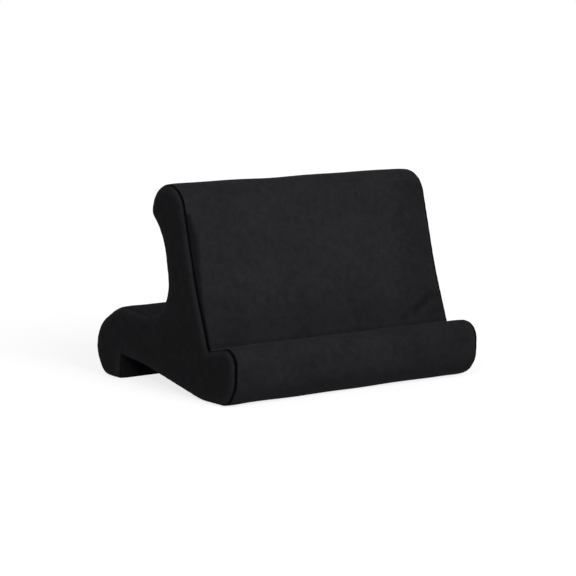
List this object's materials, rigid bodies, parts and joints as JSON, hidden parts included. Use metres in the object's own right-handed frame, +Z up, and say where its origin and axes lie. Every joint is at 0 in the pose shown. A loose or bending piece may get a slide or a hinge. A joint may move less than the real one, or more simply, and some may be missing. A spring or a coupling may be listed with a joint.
{
  "type": "tablet cushion stand",
  "caption": "Soft foam cushion with a front lip, leaning backrest and rear roll that holds a tablet at several angles, in a velour cover with a zip underneath.",
  "frame": {"origin": "on the floor under the middle of the cushion", "axes": "+X along the width, +Y from the front lip towards the rear roll, +Z up"},
  "size_m": [0.28, 0.2356, 0.1907],
  "materials": {
    "velour": "short black nap, softly mottled",
    "foam": "cut grey polyurethane foam",
    "tape": "woven black zip tape",
    "nylon": "satin black nylon",
    "zinc": "dark satin enamel on die-cast zinc"
  },
  "bodies": {
    "cushion": {"foam_core": "foam", "cover_band": "velour", "cover_side_left": "velour", "cover_side_right": "velour", "zip_tape_front": "tape", "zip_tape_rear": "tape", "zip_coil_front": "nylon", "zip_coil_rear": "nylon"},
    "slider": {"zip_slider": "zinc"},
    "pull": {"zip_pull": "zinc"}
  },
  "joints": [
    {"name": "zip_slide", "type": "slide", "parent": "cushion", "child": "slider", "axis": [-1, 0, 0], "range_m": [0, 0.2568]},
    {"name": "pull_swing", "type": "hinge", "parent": "slider", "child": "pull", "pos_m": [0.1284, 0.05547, 0.01944], "axis": [0, 0.9957, 0.0922], "range_deg": [-90, 90]}
  ]
}
